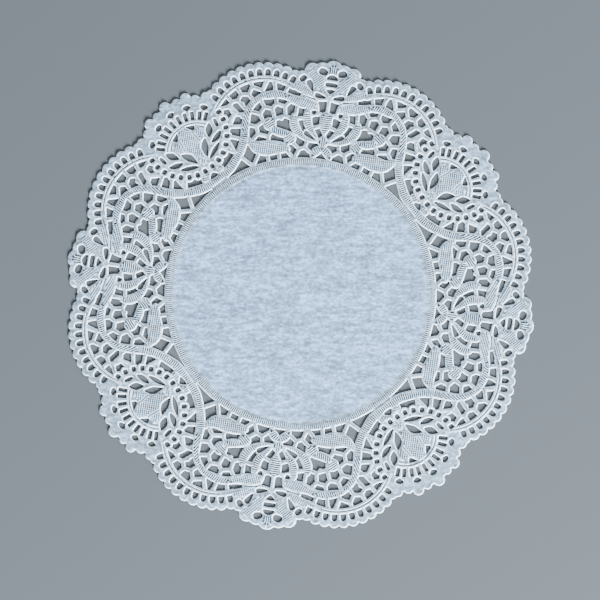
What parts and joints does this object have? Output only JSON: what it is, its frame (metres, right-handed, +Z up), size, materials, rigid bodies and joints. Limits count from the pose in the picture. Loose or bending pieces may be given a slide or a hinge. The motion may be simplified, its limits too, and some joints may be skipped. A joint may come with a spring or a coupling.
{
  "type": "paper doily",
  "caption": "Flat round sheet of white lace paper with a plain middle, a ribbed ring and a scalloped openwork border.",
  "frame": {"origin": "middle of the underside, in the plane the sheet rests on", "axes": "+Z up out of the embossed face, +Y through the middle of a flower on the edge"},
  "size_m": [0.254, 0.254, 0.001],
  "materials": {
    "lace_paper": "white embossed paper, matt, cool in tone"
  },
  "bodies": {
    "root": {"paper_doily": "lace_paper"}
  },
  "joints": []
}
